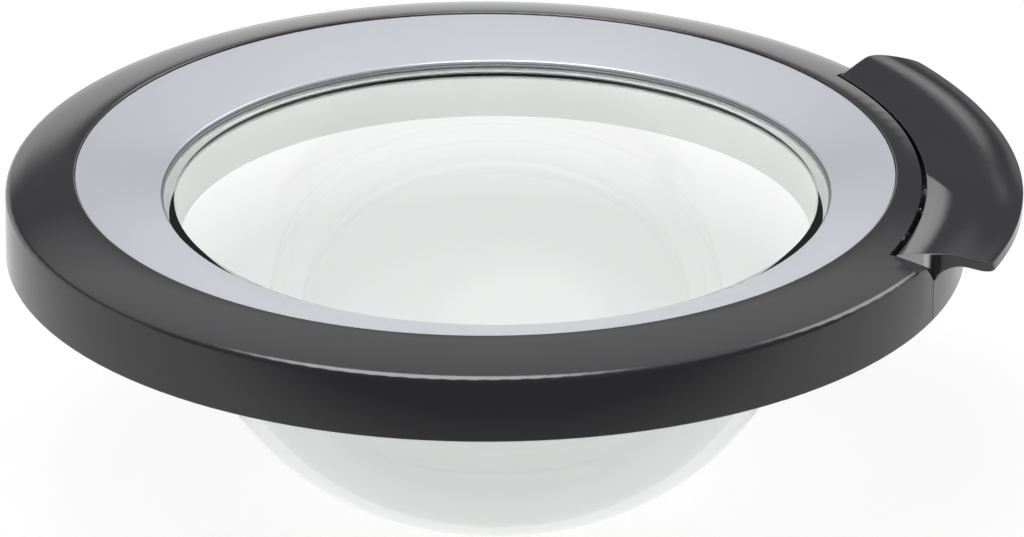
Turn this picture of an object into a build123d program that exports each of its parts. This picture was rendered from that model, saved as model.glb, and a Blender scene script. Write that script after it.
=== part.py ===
"""Front-loading washing machine door, lying face up, with its hinge, pull handle and latch hook.

Millimetres. The origin is the centre of the hinge bracket's screw pattern, on the face that meets
the machine's front panel. +Z points out of the machine and +X runs from the hinge to the handle.
"""

import os
from math import cos, radians, sin

from build123d import *

os.makedirs("parts", exist_ok=True)

# Front ring: the dark outer frame, measured from its own axis and from its rear plane
ring_radius = 225.0
ring_height = 31.5
wall = 3.0
edge_round = 3.5
crown_width = 32.5
crown_rise = 8.0
crown_bulge = 0.8
lip_depth = 4.5

# Trim ring: the bright funnel between the dark ring and the glass
trim_step = 0.8
trim_wall = 2.2
throat_margin = 1.0
funnel_drop = 8.4
throat_length = 4.5
trim_flange_reach = 6.5
trim_flange_thickness = 2.0

# Glass bowl, on its own axis, set towards the handle
glass_offset = 5.0
glass_thickness = 5.0
glass_inset = 69.0
glass_flange_width = 12.0
bowl_depth = 130.0

# Rear ring: the inner frame that clamps the glass
rear_plate_z = 6.0
rear_plate_thickness = 3.0
rear_rim_depth = 4.0
collar_clearance = 4.0
collar_wall = 4.0
bead_height = 3.0
bead_width = 6.0

# Clamp screws between the rear ring and the front ring
screw_inset = 18.0
screw_angles = (48, 82, 116, 150, 210, 244, 278, 312)
screw_radius = 2.0
screw_head_radius = 4.0
screw_head_height = 2.4
screw_depth = 12.0
boss_radius = 4.6

# Pull handle: a wing swept round the ring's axis, cut by a leaning front end and an upright back end.
# Its section changes from front to back: angle, and the rises of its inner tip, crest and outer edge
wing_stations = (
    (-44, 2.9, 4.4, -0.6),
    (-31, 3.6, 4.7, -0.7),
    (-18, 4.2, 5.0, -1.0),
    (-5, 4.7, 5.1, -1.2),
    (8, 4.9, 5.1, -0.8),
    (21, 5.0, 5.1, 0.6),
    (34, 5.0, 5.1, 2.2),
    (47, 5.0, 5.1, 3.0),
)
grip_overhang = 27.0
grip_thickness = 3.2
grip_edge_thickness = 4.8
end_wall = 3.0
skirt_proud = 1.0
skirt_wall = 3.5
skirt_depth = 10.5
front_tip_rise = 3.6
front_corner_rise = -0.7
front_tip_angle = -30.5
front_corner_angle = -25.9
front_seam_angle = -27.2
back_tip_angle = 30.6
back_corner_angle = 35.4
back_corner_round = 16.0
front_corner_round = 2.5
front_bevel = 4.5
front_bevel_sweep = 5.3
handle_gap = 2.4
end_gap = 1.35
seam_gap = 0.7

# Pocket for the handle: its inner wall is an arc that is flatter than the ring and off its axis
pocket_shift = (-25.0, -4.3)
pocket_growth = 3.8

# Handle housing: the carrier in the ring's cut-out, with the pivot pins
floor_thickness = 2.6
upstand_inset = 4.5
upstand_wall = 2.0
apron_gap = 1.6
outer_cheek_angle = 23.7
cheek_spacing = 16.0
cheek_thickness = 4.0
cheek_radius = 3.6
housing_screw_inset = 17.0
housing_screw_y = 45.0

# Pivots of the handle and of the latch hook, along Y
handle_pin_inset = 27.5
handle_pin_drop = 3.5
handle_pin_radius = 2.0
hook_pin_inset = 16.0
hook_pin_rise = 3.9
hook_pin_radius = 2.0
hook_cheek_y = 10.0
hook_cheek_thickness = 4.0
pin_overhang = 1.5
lug_thickness = 5.0
lug_radius = 4.4
lug_top_rise = 1.2
finger_width = 6.0
finger_reach = 2.8
finger_half_depth = 2.2
finger_top_rise = 3.3
finger_length = 13.6

# Latch hook
hook_thickness = 5.0
hook_eye_radius = 5.0
hook_foot = -24.0
hook_nose_reach = 8.0
hook_nose_height = 7.0
hook_shank_width = 6.0
tail_gap = 0.5
tail_width = 3.4
tail_overlap = 6.8
slot_clearance = 3.0

# Torsion springs round the pins
spring_wire_radius = 0.5
spring_play = 0.5
handle_spring_turns = 3
handle_spring_pitch = 1.2
hook_spring_turns = 3
hook_spring_pitch = 1.2
spring_leg = 4.0

# Hinge: a bracket on the machine, a leaf on the door and a pin along Y between them
hinge_inset = 20.0
pin_standoff = 13.0
pin_behind_ring = 7.0
hinge_pin_radius = 3.0
knuckle_radius = 6.5
bracket_hole_x = 16.0
bracket_hole_spacing = 58.0
bracket_hole_radius = 2.75
bracket_half_length = 38.0
bracket_thickness = 3.0
bracket_corner = 8.0
ear_y = 15.0
ear_thickness = 8.0
bush_radius = 4.2
bush_flange_radius = 6.0
bush_flange = 1.2
leaf_length = 36.0
leaf_half_width = 34.0
leaf_thickness = 3.0
leaf_screw_x = (12.0, 28.0)
leaf_screw_y = 22.0
backing_thickness = 2.0

# Fits
running_gap = 0.05
press_gap = 0.02
fit_gap = 0.3

# Radii that follow the ring
ridge_radius = ring_radius - crown_width
crown_mid_radius = (ring_radius + ridge_radius) / 2
trim_radius = ridge_radius - fit_gap
neck_radius = ring_radius - glass_inset
trim_inner_radius = neck_radius + throat_margin
glass_flange_radius = neck_radius + glass_flange_width
collar_radius = neck_radius + collar_clearance
rear_ring_radius = ring_radius - wall - fit_gap
screw_circle = ring_radius - screw_inset
grip_outer_radius = ring_radius + grip_overhang
skirt_outer_radius = ring_radius + skirt_proud
skirt_inner_radius = skirt_outer_radius - skirt_wall
grip_crest_radius = skirt_outer_radius
pocket_radius = ring_radius + pocket_growth
upstand_radius = ring_radius - upstand_inset

# Heights above the ring's rear plane
ridge_height = ring_height + crown_rise
crown_mid_height = (ring_height + ridge_height) / 2 + crown_bulge
lip_foot = ridge_height - lip_depth
trim_mouth_height = ridge_height - trim_step
trim_inner_height = trim_mouth_height - funnel_drop
trim_lip_foot = trim_inner_height - throat_length
glass_seat = trim_lip_foot - glass_thickness
rear_plate_top = rear_plate_z + rear_plate_thickness
floor_top = rear_plate_top + floor_thickness
front_tip_height = ring_height + front_tip_rise
front_corner_height = ring_height + front_corner_rise
skirt_foot = ring_height - skirt_depth
apron_height = skirt_foot - apron_gap
headroom = 2 * ridge_height

# Places that follow from the sizes above
hinge_reach = ring_radius - hinge_inset
ring_x = hinge_reach - bracket_hole_x
rear_z = pin_standoff + pin_behind_ring
hinge_x = -bracket_hole_x
outer_cheek_y = ring_radius * sin(radians(outer_cheek_angle))
inner_cheek_y = outer_cheek_y - cheek_spacing
handle_pin_x = ring_radius - handle_pin_inset
handle_pin_z = ring_height - handle_pin_drop
handle_pin_middle = (outer_cheek_y + inner_cheek_y) / 2
handle_pin_half = (outer_cheek_y - inner_cheek_y + cheek_thickness) / 2 + pin_overhang
hook_pin_x = ring_radius - hook_pin_inset
hook_pin_z = floor_top + hook_pin_rise
finger_x = hook_pin_x + finger_reach
finger_top = ring_height + finger_top_rise
finger_foot = finger_top - finger_length
tail_top = finger_foot + tail_overlap
housing_screw_x = ring_radius - housing_screw_inset


def around(radius, angle):
    """Plan place at a radius and an angle about the ring's axis."""
    return (radius * cos(radians(angle)), radius * sin(radians(angle)))


def grip_inner(angle):
    """Radius of the handle's inner edge at an angle, from the pocket's arc and the gap."""
    ahead = pocket_shift[0] * cos(radians(angle)) + pocket_shift[1] * sin(radians(angle))
    aside = pocket_shift[0] * sin(radians(angle)) - pocket_shift[1] * cos(radians(angle))
    return ahead + ((pocket_radius + handle_gap) ** 2 - aside**2) ** 0.5


screw_places = [around(screw_circle, angle) for angle in screw_angles]
housing_screw_places = [(housing_screw_x, side * housing_screw_y) for side in (-1, 1)]
leaf_screw_places = [(x, side * leaf_screw_y) for x in leaf_screw_x for side in (-1, 1)]
front_tip = around(grip_inner(front_tip_angle), front_tip_angle)
front_corner = around(grip_outer_radius, front_corner_angle)
front_foot = around(ring_radius, front_seam_angle)
back_tip = around(grip_inner(back_tip_angle), back_tip_angle)
back_corner = around(grip_outer_radius, back_corner_angle)
back_foot = (2 * back_tip[0] - back_corner[0], 2 * back_tip[1] - back_corner[1])

# Sketch planes and axes: sections look along Y, plans look down
ring_section = Plane(origin=(ring_x, 0, rear_z), x_dir=(1, 0, 0), z_dir=(0, -1, 0))
glass_section = Plane(origin=(ring_x + glass_offset, 0, rear_z), x_dir=(1, 0, 0), z_dir=(0, -1, 0))
hinge_section = Plane(origin=(hinge_x, 0, pin_standoff), x_dir=(1, 0, 0), z_dir=(0, -1, 0))
ring_plan = Plane(origin=(ring_x, 0, rear_z))
glass_plan = Plane(origin=(ring_x + glass_offset, 0, rear_z))
hinge_plan = Plane(origin=(hinge_x, 0, pin_standoff))
ring_axis = Axis((ring_x, 0, 0), (0, 0, 1))
glass_axis = Axis((ring_x + glass_offset, 0, 0), (0, 0, 1))

# End planes of the handle, facing outwards; the front one leans in towards its seam
tip = ring_plan.from_local_coords(Vector(*front_tip, front_tip_height))
corner = ring_plan.from_local_coords(Vector(*front_corner, front_corner_height))
seam = ring_plan.from_local_coords(Vector(*front_foot, skirt_foot))
front_end = Plane(origin=tip, x_dir=corner - tip, z_dir=(seam - tip).cross(corner - tip))
front_seam = Plane(origin=seam, x_dir=(1, 0, 0), z_dir=(0, -1, 0))
bevel_start = ring_plan.from_local_coords(Vector(*front_tip, crown_mid_height - trim_step))
bevel_foot = ring_plan.from_local_coords(Vector(*front_foot, ring_height - front_bevel))
bevel_end = ring_plan.from_local_coords(
    Vector(*around(ring_radius, front_seam_angle - front_bevel_sweep), ring_height)
)
front_slope = Plane(
    origin=bevel_start,
    x_dir=bevel_foot - bevel_start,
    z_dir=(bevel_foot - bevel_start).cross(bevel_end - bevel_start),
)
back_line = Vector(*back_corner, 0) - Vector(*back_tip, 0)
back_end = Plane(
    origin=ring_plan.from_local_coords(Vector(*back_tip, 0)),
    x_dir=back_line,
    z_dir=Vector(0, 0, 1).cross(back_line),
)


def write(piece, name):
    """Labels a finished piece and writes it as its own file."""
    piece.part.label = name
    export_step(piece.part, f"parts/{name}.step")


def handle_sector(inner_radius, outer_radius, foot, top, front_plane, growth, inner_shift=(0, 0)):
    """The ring's sector at the handle, between two end planes moved outwards by growth."""
    with BuildPart() as sector:
        with BuildSketch(ring_plan.offset(foot)):
            Circle(outer_radius)
            with Locations(inner_shift):
                Circle(inner_radius, mode=Mode.SUBTRACT)
        extrude(amount=top - foot)
        split(bisect_by=back_end.offset(growth), keep=Keep.BOTTOM)
        split(bisect_by=front_plane.offset(growth), keep=Keep.BOTTOM)
    return sector.part


def handle_pocket(inset, outer_radius, foot, top, front_plane, growth):
    """The part of that sector which lies outside the pocket's own arc, set in by inset."""
    return handle_sector(pocket_radius - inset, outer_radius, foot, top, front_plane, growth, pocket_shift)


# Front ring
with BuildPart() as ring_hollow:
    with BuildSketch(ring_section):
        with BuildLine():
            inner_face = Polyline(
                (ridge_radius - wall, lip_foot),
                (ridge_radius - wall, -wall),
                (ring_radius - wall, -wall),
                (ring_radius - wall, ring_height - wall),
            )
            under_crown = ThreePointArc(
                inner_face @ 1,
                (crown_mid_radius, crown_mid_height - wall),
                (ridge_radius + wall, ridge_height - wall),
            )
            Polyline(under_crown @ 1, (ridge_radius + wall, lip_foot), inner_face @ 0)
        make_face()
    revolve(axis=ring_axis)
    # Screw bosses and the wall of the handle pocket stay solid
    with BuildSketch(ring_plan.offset(rear_plate_top)):
        with Locations(*screw_places):
            Circle(boss_radius)
    extrude(amount=headroom, mode=Mode.SUBTRACT)
    add(
        handle_pocket(wall, ring_radius, rear_plate_top, headroom, front_end, end_gap + wall),
        mode=Mode.SUBTRACT,
    )

with BuildPart() as front_ring:
    with BuildSketch(ring_section):
        with BuildLine():
            outer_wall = Polyline((ridge_radius, 0), (ring_radius, 0), (ring_radius, ring_height))
            crown = ThreePointArc(
                outer_wall @ 1, (crown_mid_radius, crown_mid_height), (ridge_radius, ridge_height)
            )
            Line(crown @ 1, outer_wall @ 0)
        make_face()
    revolve(axis=ring_axis)
    circles = front_ring.edges().filter_by(GeomType.CIRCLE)
    outer_circles = circles.filter_by(lambda edge: abs(edge.radius - ring_radius) < fit_gap)
    ridge_circles = circles.filter_by(lambda edge: abs(edge.radius - ridge_radius) < fit_gap)
    fillet(outer_circles.sort_by(Axis.Z)[-1], edge_round)
    fillet(ridge_circles.sort_by(Axis.Z)[-1], trim_step)
    add(ring_hollow.part, mode=Mode.SUBTRACT)
    add(
        handle_pocket(0, 2 * ring_radius, skirt_foot, headroom, front_end, end_gap),
        mode=Mode.SUBTRACT,
    )
    # A sloping face leads down to the handle's front end
    add(
        handle_pocket(0, 2 * ring_radius, skirt_foot, headroom, front_slope, 0),
        mode=Mode.SUBTRACT,
    )
    add(
        handle_pocket(0, 2 * ring_radius, -wall, skirt_foot, front_seam, seam_gap),
        mode=Mode.SUBTRACT,
    )
    with BuildSketch(ring_plan.offset(rear_plate_top)):
        with Locations(*screw_places):
            Circle(screw_radius + running_gap)
    extrude(amount=screw_depth, mode=Mode.SUBTRACT)
write(front_ring, "front_ring")

# Trim ring: its inner and outer circles have different axes, so the funnel is a loft
with BuildPart() as trim_hollow:
    with BuildSketch(ring_plan.offset(trim_lip_foot)):
        Circle(trim_radius - trim_wall)
    extrude(amount=trim_mouth_height - trim_wall - trim_lip_foot)
    with BuildSketch(glass_plan.offset(trim_inner_height - trim_wall)) as inner_foot:
        Circle(trim_inner_radius + trim_wall)
    with BuildSketch(ring_plan.offset(trim_mouth_height - trim_wall)) as outer_foot:
        Circle(trim_radius - trim_wall)
    loft([inner_foot.sketch, outer_foot.sketch], mode=Mode.SUBTRACT)
    with BuildSketch(glass_plan.offset(trim_lip_foot)):
        Circle(trim_inner_radius + trim_wall)
    extrude(amount=trim_inner_height - trim_wall - trim_lip_foot, mode=Mode.SUBTRACT)

with BuildPart() as trim_ring:
    with BuildSketch(ring_plan.offset(trim_lip_foot)):
        Circle(trim_radius)
    extrude(amount=trim_mouth_height - trim_lip_foot)
    with BuildSketch(ring_plan.offset(lip_foot)):
        Circle(trim_radius + trim_flange_reach)
    extrude(amount=-trim_flange_thickness)
    with BuildSketch(glass_plan.offset(trim_inner_height)) as throat:
        Circle(trim_inner_radius)
    with BuildSketch(ring_plan.offset(trim_mouth_height)) as mouth:
        Circle(trim_radius)
    loft([throat.sketch, mouth.sketch], mode=Mode.SUBTRACT)
    with BuildSketch(glass_plan.offset(trim_lip_foot)):
        Circle(trim_inner_radius)
    extrude(amount=trim_inner_height - trim_lip_foot, mode=Mode.SUBTRACT)
    add(trim_hollow.part, mode=Mode.SUBTRACT)
write(trim_ring, "trim_ring")

# Glass bowl: clamped flange, tapering neck and rounded bottom
with BuildPart() as glass_bowl:
    with BuildSketch(glass_section):
        with BuildLine():
            outside = Bezier(
                (neck_radius, glass_seat),
                (neck_radius - 2 * glass_thickness, -bowl_depth / 2),
                (2 * neck_radius / 3, -bowl_depth),
                (0, -bowl_depth),
            )
            inside = Bezier(
                (neck_radius - glass_thickness, glass_seat + glass_thickness),
                (neck_radius - 3 * glass_thickness, glass_thickness - bowl_depth / 2),
                (2 * neck_radius / 3 - glass_thickness, glass_thickness - bowl_depth),
                (0, glass_thickness - bowl_depth),
            )
            Line(outside @ 1, inside @ 1)
            Polyline(
                inside @ 0,
                (glass_flange_radius, glass_seat + glass_thickness),
                (glass_flange_radius, glass_seat),
                outside @ 0,
            )
        make_face()
    revolve(axis=glass_axis)
    flange_edges = glass_bowl.edges().filter_by(GeomType.CIRCLE).sort_by(SortBy.RADIUS)
    fillet(flange_edges[-2:], glass_thickness / 4)
write(glass_bowl, "glass_bowl")

# Rear ring: rimmed plate about the ring's axis, with a collar about the glass's axis
hook_slot_start = hook_pin_x - hook_eye_radius - slot_clearance
hook_slot_length = hook_pin_x + hook_nose_reach + slot_clearance - hook_slot_start
hook_slot_middle = hook_slot_start + hook_slot_length / 2
hook_slot_width = hook_thickness + slot_clearance
with BuildPart() as rear_ring:
    with BuildSketch(ring_plan.offset(rear_plate_z)):
        Circle(rear_ring_radius)
    extrude(amount=rear_plate_thickness)
    with BuildSketch(ring_plan.offset(rear_plate_z)):
        Circle(rear_ring_radius)
        Circle(rear_ring_radius - wall, mode=Mode.SUBTRACT)
    extrude(amount=-rear_rim_depth)
    with BuildSketch(glass_plan.offset(rear_plate_z - bead_height)):
        Circle(collar_radius + bead_width)
    extrude(amount=bead_height)
    with BuildSketch(glass_plan.offset(rear_plate_top)):
        Circle(collar_radius + collar_wall)
    extrude(amount=glass_seat - rear_plate_top)
    with BuildSketch(glass_plan.offset(rear_plate_z - bead_height)):
        Circle(collar_radius)
    extrude(amount=headroom, mode=Mode.SUBTRACT)
    with BuildSketch(ring_plan.offset(rear_plate_z)):
        with Locations(*screw_places, *housing_screw_places):
            Circle(screw_radius + fit_gap)
        with Locations(*[(x - hinge_reach, y) for x, y in leaf_screw_places]):
            Circle(screw_radius + fit_gap)
        with Locations((hook_slot_middle, 0)):
            Rectangle(hook_slot_length, hook_slot_width)
    extrude(amount=rear_plate_thickness, mode=Mode.SUBTRACT)
    # The rim opens at the hinge
    with BuildSketch(ring_plan.offset(rear_plate_z - rear_rim_depth)):
        with Locations((-ring_radius, 0)):
            Rectangle(6 * knuckle_radius, 2 * (ear_y + ear_thickness))
    extrude(amount=rear_rim_depth, mode=Mode.SUBTRACT)
write(rear_ring, "rear_ring")

# Handle housing: floor, outer apron in line with the ring's wall, upstand and pivot cheeks
with BuildPart() as handle_housing:
    add(handle_pocket(-fit_gap, ring_radius, rear_plate_top, floor_top, front_seam, 0))
    add(handle_sector(ring_radius - wall, ring_radius, 0, apron_height, front_seam, 0))
    add(
        handle_sector(
            upstand_radius - upstand_wall, upstand_radius, rear_plate_top, apron_height, front_seam, 0
        )
    )
    with BuildSketch(ring_plan.offset(rear_plate_top)):
        with Locations((hook_slot_middle, 0)):
            Rectangle(hook_slot_length, hook_slot_width)
        with Locations(*housing_screw_places):
            Circle(screw_radius + running_gap)
    extrude(amount=headroom, mode=Mode.SUBTRACT)
    for side in (-1, 1):
        for cheek_y in (outer_cheek_y, inner_cheek_y):
            with BuildSketch(ring_section.offset(side * cheek_y)):
                with Locations((handle_pin_x, handle_pin_z)):
                    Circle(cheek_radius)
                with Locations((handle_pin_x, (handle_pin_z + rear_plate_top) / 2)):
                    Rectangle(2 * cheek_radius, handle_pin_z - rear_plate_top)
                with Locations((handle_pin_x, handle_pin_z)):
                    Circle(handle_pin_radius + press_gap, mode=Mode.SUBTRACT)
            extrude(amount=cheek_thickness / 2, both=True)
        with BuildSketch(ring_section.offset(side * hook_cheek_y)):
            with Locations((hook_pin_x, hook_pin_z)):
                Circle(cheek_radius)
            with Locations((hook_pin_x, (hook_pin_z + rear_plate_top) / 2)):
                Rectangle(2 * cheek_radius, hook_pin_z - rear_plate_top)
            with Locations((hook_pin_x, hook_pin_z)):
                Circle(hook_pin_radius + press_gap, mode=Mode.SUBTRACT)
        extrude(amount=hook_cheek_thickness / 2, both=True)
write(handle_housing, "handle_housing")

def end_web(end):
    """A three-cornered wall that closes the wing's section at one end, above a sloping foot."""
    inner = grip_inner(front_tip_angle)
    web_top = ring_height + front_tip_rise - grip_thickness / 2
    with BuildPart() as web:
        with BuildSketch(ring_section):
            with BuildLine():
                Polyline(
                    (inner + grip_thickness / 2, web_top),
                    (skirt_inner_radius + skirt_wall / 2, skirt_foot),
                    (skirt_inner_radius + skirt_wall / 2, web_top),
                    close=True,
                )
            make_face()
        revolve(axis=ring_axis)
        split(bisect_by=end, keep=Keep.BOTTOM)
        split(bisect_by=end.offset(-end_wall), keep=Keep.TOP)
        split(bisect_by=Plane(ring_plan.origin, z_dir=(1, 0, 0)), keep=Keep.TOP)
    return web.part


# Pull handle: wing lofted round the ring's axis, end lugs on the pivot pins and a finger for the hook
lug_y = outer_cheek_y - (cheek_thickness + lug_thickness) / 2 - fit_gap
lug_top = ring_height + lug_top_rise
wing_span = grip_outer_radius - skirt_outer_radius
with BuildPart() as handle:
    for angle, tip_rise, crest_rise, edge_rise in wing_stations:
        outward = Vector(*around(1, angle), 0)
        inner = grip_inner(angle)
        grip_width = grip_crest_radius - inner
        tip_height = ring_height + tip_rise
        crest_height = ring_height + crest_rise
        edge_height = ring_height + edge_rise
        edge_drop = crest_height - edge_height
        under_height = ring_height - grip_edge_thickness
        with BuildSketch(Plane(ring_plan.origin, x_dir=outward, z_dir=outward.cross(Vector(0, 0, 1)))):
            with BuildLine():
                top = Spline(
                    (inner, tip_height),
                    (inner + 0.3 * grip_width, tip_height + 0.56 * (crest_height - tip_height)),
                    (inner + 0.65 * grip_width, tip_height + 0.9 * (crest_height - tip_height)),
                    (grip_crest_radius, crest_height),
                    (skirt_outer_radius + 0.4 * wing_span, crest_height - 0.23 * edge_drop),
                    (skirt_outer_radius + 0.68 * wing_span, crest_height - 0.7 * edge_drop),
                    (skirt_outer_radius + 0.9 * wing_span, crest_height - edge_drop),
                    (grip_outer_radius, edge_height),
                )
                edge = Line(top @ 1, (grip_outer_radius, edge_height - grip_edge_thickness))
                under = Spline(
                    edge @ 1,
                    (skirt_outer_radius + 0.84 * wing_span, edge_height - 1.1 * grip_edge_thickness),
                    (skirt_outer_radius + 0.45 * wing_span, (under_height + edge_height) / 2 - 0.4),
                    (skirt_outer_radius + 0.2 * wing_span, under_height - 0.4),
                    (skirt_outer_radius + 0.04 * wing_span, skirt_foot + 1.8),
                    (skirt_outer_radius, skirt_foot),
                )
                Polyline(
                    under @ 1,
                    (skirt_inner_radius, skirt_foot),
                    (skirt_inner_radius - 1, tip_height - 1.3 * grip_thickness),
                    (inner + 1, tip_height - grip_thickness),
                    top @ 0,
                )
            make_face()
    loft()
    with BuildSketch(ring_plan) as grip_plan:
        with BuildLine():
            side_line = Line((0, 0), around(2 * ring_radius, -90))
            outer_arc = RadiusArc(around(grip_outer_radius, -60), back_corner, -grip_outer_radius)
            Line(side_line @ 1, outer_arc @ 0)
            back_edge = Line(outer_arc @ 1, back_foot)
            Line(back_edge @ 1, side_line @ 0)
        make_face()
        fillet(grip_plan.vertices().sort_by_distance(back_corner)[0], back_corner_round)
    extrude(amount=headroom, mode=Mode.INTERSECT)
    split(bisect_by=front_end, keep=Keep.BOTTOM)
    # Rounded front corner
    front_corners = handle.edges().sort_by(lambda edge: (edge.center() - corner).length)
    fillet(front_corners[0], front_corner_round)
    for end in (front_end, back_end):
        add(end_web(end))
    for side in (-1, 1):
        # Room over the cheeks and the spring as the handle turns
        with BuildSketch(ring_section.offset(side * handle_pin_middle)):
            with Locations((handle_pin_x, handle_pin_z)):
                Circle(cheek_radius + 2 * fit_gap)
        extrude(amount=handle_pin_half, both=True, mode=Mode.SUBTRACT)
        with BuildSketch(ring_section.offset(side * lug_y)):
            with Locations((handle_pin_x, handle_pin_z)):
                Circle(lug_radius)
            with Locations((handle_pin_x, (handle_pin_z + lug_top) / 2)):
                Rectangle(2 * lug_radius, lug_top - handle_pin_z)
        extrude(amount=lug_thickness / 2, both=True)
        with BuildSketch(ring_section.offset(side * lug_y)):
            with Locations((handle_pin_x, handle_pin_z)):
                Circle(handle_pin_radius + running_gap)
        extrude(amount=lug_thickness / 2, both=True, mode=Mode.SUBTRACT)
    with BuildSketch(ring_section):
        with Locations((finger_x, (finger_top + finger_foot) / 2)):
            Rectangle(2 * finger_half_depth, finger_top - finger_foot)
    extrude(amount=finger_width / 2, both=True)
write(handle, "handle")

# Pivot pins of the handle and the hook
with BuildPart() as handle_pins:
    for side in (-1, 1):
        with BuildSketch(ring_section.offset(side * handle_pin_middle)):
            with Locations((handle_pin_x, handle_pin_z)):
                Circle(handle_pin_radius)
        extrude(amount=handle_pin_half, both=True)
    chamfer(handle_pins.edges().filter_by(GeomType.CIRCLE), pin_overhang / 3)
write(handle_pins, "handle_pins")

with BuildPart() as hook_pin:
    with BuildSketch(ring_section):
        with Locations((hook_pin_x, hook_pin_z)):
            Circle(hook_pin_radius)
    extrude(amount=hook_cheek_y + hook_cheek_thickness / 2 + pin_overhang, both=True)
    chamfer(hook_pin.edges().filter_by(GeomType.CIRCLE), pin_overhang / 3)
write(hook_pin, "hook_pin")

# Latch hook: eye on its pin, tail behind the handle's finger, nose below the door
tail_inner_x = finger_x + finger_half_depth + tail_gap
with BuildPart() as latch_hook:
    with BuildSketch(ring_section):
        with BuildLine():
            Polyline(
                (hook_pin_x, hook_pin_z + hook_eye_radius / 2),
                (tail_inner_x, hook_pin_z + hook_eye_radius / 2),
                (tail_inner_x, tail_top),
                (tail_inner_x + tail_width, tail_top),
                (tail_inner_x + tail_width, hook_pin_z - hook_eye_radius / 2),
                (hook_pin_x, hook_pin_z - hook_eye_radius / 2),
                close=True,
            )
        make_face()
        with BuildLine():
            Polyline(
                (hook_pin_x - hook_shank_width / 2, hook_pin_z),
                (hook_pin_x - hook_shank_width / 2, hook_foot),
                (hook_pin_x + hook_shank_width / 2, hook_foot),
                (hook_pin_x + hook_nose_reach, hook_foot + hook_nose_height / 2),
                (hook_pin_x + hook_nose_reach, hook_foot + hook_nose_height),
                (hook_pin_x + hook_shank_width / 2, hook_foot + hook_nose_height),
                (hook_pin_x + hook_shank_width / 2, hook_pin_z),
                close=True,
            )
        make_face()
        with Locations((hook_pin_x, hook_pin_z)):
            Circle(hook_eye_radius)
            Circle(hook_pin_radius + running_gap, mode=Mode.SUBTRACT)
    extrude(amount=hook_thickness / 2, both=True)
    fillet(latch_hook.edges().filter_by(Axis.Y).group_by(Axis.Z)[0], hook_shank_width / 4)
write(latch_hook, "latch_hook")


def torsion_spring(pin_x, pin_z, pin_radius, start_y, turns, pitch):
    """A coil round a pin along Y, with a straight leg below the pin at each end."""
    coil_start = Vector(ring_x + pin_x, start_y, rear_z + pin_z)
    with BuildPart() as spring:
        with BuildLine() as coil:
            Helix(
                pitch,
                turns * pitch,
                pin_radius + spring_play + spring_wire_radius,
                center=coil_start,
                direction=(0, 1, 0),
            )
        path = coil.edges()[0]
        with BuildSketch(Plane(origin=path @ 0, z_dir=path % 0)):
            Circle(spring_wire_radius)
        sweep(path=path)
        for end, direction in ((0, -1), (1, 1)):
            with BuildSketch(Plane(origin=path @ end, z_dir=(path % end) * direction)):
                Circle(spring_wire_radius)
            extrude(amount=spring_leg)
    return spring.part.rotate(Axis(coil_start, (0, 1, 0)), 180)


with BuildPart() as handle_springs:
    add(
        torsion_spring(
            handle_pin_x,
            handle_pin_z,
            handle_pin_radius,
            inner_cheek_y + cheek_thickness / 2 + 2.2 * spring_wire_radius,
            handle_spring_turns,
            handle_spring_pitch,
        )
    )
    mirror(about=Plane.XZ)
write(handle_springs, "handle_springs")

with BuildPart() as hook_spring:
    add(
        torsion_spring(
            hook_pin_x,
            hook_pin_z,
            hook_pin_radius,
            hook_thickness / 2 + 2 * spring_wire_radius,
            hook_spring_turns,
            hook_spring_pitch,
        )
    )
write(hook_spring, "hook_spring")

# Hinge bracket on the machine's front panel
with BuildPart() as hinge_bracket:
    with BuildSketch():
        with Locations((bracket_corner / 4, 0)):
            RectangleRounded(
                2 * bracket_hole_x - bracket_corner / 2, 2 * bracket_half_length, bracket_corner
            )
        with GridLocations(0, bracket_hole_spacing, 1, 2):
            Circle(bracket_hole_radius, mode=Mode.SUBTRACT)
    extrude(amount=bracket_thickness)
    for side in (-1, 1):
        with BuildSketch(hinge_section.offset(side * ear_y)):
            with BuildLine():
                Polyline(
                    (0, -knuckle_radius),
                    (bracket_corner / 2, bracket_thickness / 2 - pin_standoff),
                    (3 * bracket_corner, bracket_thickness / 2 - pin_standoff),
                    (3 * bracket_corner, bracket_thickness - pin_standoff),
                    (knuckle_radius, 0),
                    (0, 0),
                    close=True,
                )
            make_face()
            Circle(knuckle_radius)
            Circle(bush_radius + press_gap, mode=Mode.SUBTRACT)
        extrude(amount=ear_thickness / 2, both=True)
write(hinge_bracket, "hinge_bracket")

# Hinge leaf on the door, with its knuckle between the bracket's ears
knuckle_half = ear_y - ear_thickness / 2 - bush_flange - fit_gap
leaf_z = pin_behind_ring + rear_plate_z - leaf_thickness
with BuildPart() as hinge_leaf:
    with BuildSketch(hinge_plan.offset(leaf_z)):
        with Locations((leaf_length / 2, 0)):
            RectangleRounded(leaf_length, 2 * leaf_half_width, bracket_corner)
        with Locations(*leaf_screw_places):
            Circle(screw_radius + fit_gap, mode=Mode.SUBTRACT)
    extrude(amount=leaf_thickness)
    with BuildSketch(hinge_section):
        with BuildLine():
            Polyline(
                (-knuckle_radius / 2, 0),
                (knuckle_radius / 2, leaf_z + leaf_thickness / 2),
                (leaf_length / 2, leaf_z + leaf_thickness / 2),
                (leaf_length / 2, leaf_z),
                (knuckle_radius, 0),
                close=True,
            )
        make_face()
        Circle(knuckle_radius)
        Circle(hinge_pin_radius + press_gap, mode=Mode.SUBTRACT)
    extrude(amount=knuckle_half, both=True)
write(hinge_leaf, "hinge_leaf")

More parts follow.
